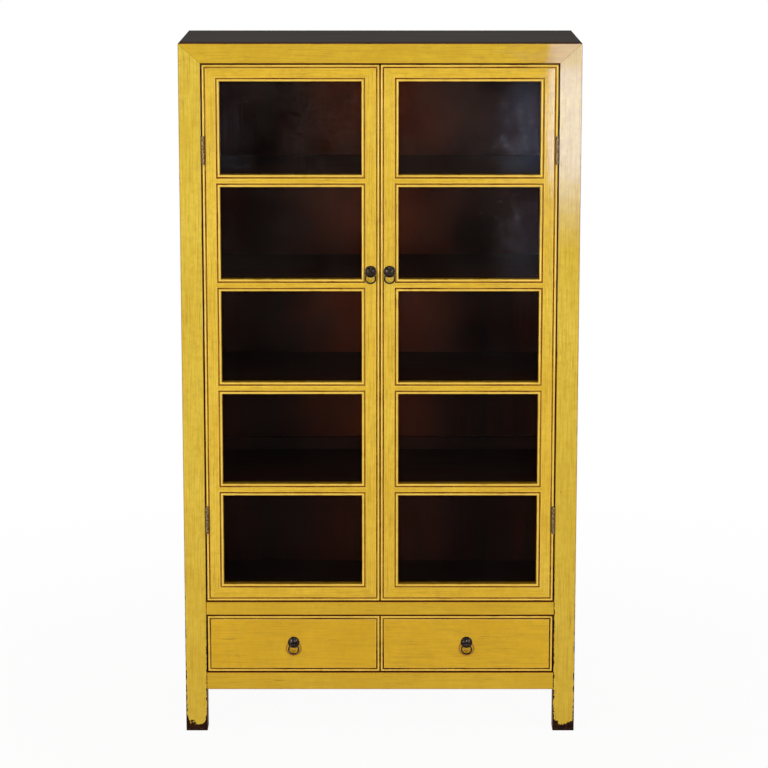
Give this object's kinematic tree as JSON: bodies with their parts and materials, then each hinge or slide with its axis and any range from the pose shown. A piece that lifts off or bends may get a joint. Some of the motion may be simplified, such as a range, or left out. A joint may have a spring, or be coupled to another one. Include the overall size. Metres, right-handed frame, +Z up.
{
  "type": "glazed cabinet with drawers",
  "caption": "Tall yellow-lacquered wooden cabinet on straight legs, with glazed hinged doors over shelves, drawers side by side below, and dark ring pulls.",
  "frame": {"origin": "on the floor under the middle of the cabinet's box, ring pulls included", "axes": "+X to the right across the front, +Y from the front to the back, +Z up"},
  "size_m": [1.018, 0.4638, 1.8],
  "materials": {
    "yellow_lacquer": "glossy yellow lacquer over wood, brushed, rubbed through at the edges",
    "black_lacquer": "black lacquer with a satin sheen",
    "brown_lacquer": "dark red-brown lacquer, satin",
    "bare_wood": "plain oiled softwood",
    "pane_glass": "clear float glass",
    "hinge_brass": "old brass, darkened",
    "pull_iron": "dark patinated iron"
  },
  "bodies": {
    "carcass": {"back_panels": "brown_lacquer", "back_rails": "brown_lacquer", "bottom_rail_front": "yellow_lacquer", "cabinet_floor": "brown_lacquer", "door_stop": "brown_lacquer", "drawer_divider": "bare_wood", "drawer_runners": "bare_wood", "hinge_leaves_frame": "hinge_brass", "hinge_pins": "hinge_brass", "hinge_screws_frame": "hinge_brass", "middle_rail_front": "yellow_lacquer", "post_back_left": "yellow_lacquer", "post_back_right": "yellow_lacquer", "post_front_left": "yellow_lacquer", "post_front_right": "yellow_lacquer", "shelf_1": "brown_lacquer", "shelf_2": "brown_lacquer", "shelf_3": "brown_lacquer", "shelf_4": "brown_lacquer", "shelf_cleats": "brown_lacquer", "side_panels": "yellow_lacquer", "side_rails": "yellow_lacquer", "top_panel": "black_lacquer", "top_rail_back": "yellow_lacquer", "top_rail_front": "yellow_lacquer", "top_rail_left": "yellow_lacquer", "top_rail_right": "yellow_lacquer"},
    "left_door": {"door_left_bottom_rail": "yellow_lacquer", "door_left_glass": "pane_glass", "door_left_glazing_beads": "yellow_lacquer", "door_left_hinge_leaves": "hinge_brass", "door_left_hinge_screws": "hinge_brass", "door_left_hinge_stile": "yellow_lacquer", "door_left_meeting_stile": "yellow_lacquer", "door_left_muntins": "yellow_lacquer", "door_left_pull_plate": "pull_iron", "door_left_top_rail": "yellow_lacquer"},
    "left_door_ring": {"door_left_pull_ring": "pull_iron"},
    "right_door": {"door_right_bottom_rail": "yellow_lacquer", "door_right_glass": "pane_glass", "door_right_glazing_beads": "yellow_lacquer", "door_right_hinge_leaves": "hinge_brass", "door_right_hinge_screws": "hinge_brass", "door_right_hinge_stile": "yellow_lacquer", "door_right_meeting_stile": "yellow_lacquer", "door_right_muntins": "yellow_lacquer", "door_right_pull_plate": "pull_iron", "door_right_top_rail": "yellow_lacquer"},
    "right_door_ring": {"door_right_pull_ring": "pull_iron"},
    "left_drawer": {"drawer_left_bottom": "bare_wood", "drawer_left_box": "bare_wood", "drawer_left_front": "yellow_lacquer", "drawer_left_pull_plate": "pull_iron"},
    "left_drawer_ring": {"drawer_left_pull_ring": "pull_iron"},
    "right_drawer": {"drawer_right_bottom": "bare_wood", "drawer_right_box": "bare_wood", "drawer_right_front": "yellow_lacquer", "drawer_right_pull_plate": "pull_iron"},
    "right_drawer_ring": {"drawer_right_pull_ring": "pull_iron"}
  },
  "joints": [
    {"name": "left_door_hinge", "type": "hinge", "parent": "carcass", "child": "left_door", "pos_m": [-0.4483, -0.2201, 1.04995], "axis": [0, 0, -1], "range_deg": [0, 170]},
    {"name": "left_drawer_slide", "type": "slide", "parent": "carcass", "child": "left_drawer", "axis": [0, -1, 0], "range_m": [0, 0.3]},
    {"name": "left_door_ring_swing", "type": "hinge", "parent": "left_door", "child": "left_door_ring", "pos_m": [-0.0242, -0.2273, 1.21692], "axis": [-1, 0, 0], "range_deg": [0, 150]},
    {"name": "left_drawer_ring_swing", "type": "hinge", "parent": "left_drawer", "child": "left_drawer_ring", "pos_m": [-0.2257, -0.2273, 0.2371], "axis": [-1, 0, 0], "range_deg": [0, 150]},
    {"name": "right_door_hinge", "type": "hinge", "parent": "carcass", "child": "right_door", "pos_m": [0.4483, -0.2201, 1.04995], "axis": [0, 0, 1], "range_deg": [0, 170]},
    {"name": "right_drawer_slide", "type": "slide", "parent": "carcass", "child": "right_drawer", "axis": [0, -1, 0], "range_m": [0, 0.3]},
    {"name": "right_door_ring_swing", "type": "hinge", "parent": "right_door", "child": "right_door_ring", "pos_m": [0.0242, -0.2273, 1.21692], "axis": [-1, 0, 0], "range_deg": [0, 150]},
    {"name": "right_drawer_ring_swing", "type": "hinge", "parent": "right_drawer", "child": "right_drawer_ring", "pos_m": [0.2257, -0.2273, 0.2371], "axis": [-1, 0, 0], "range_deg": [0, 150]}
  ]
}
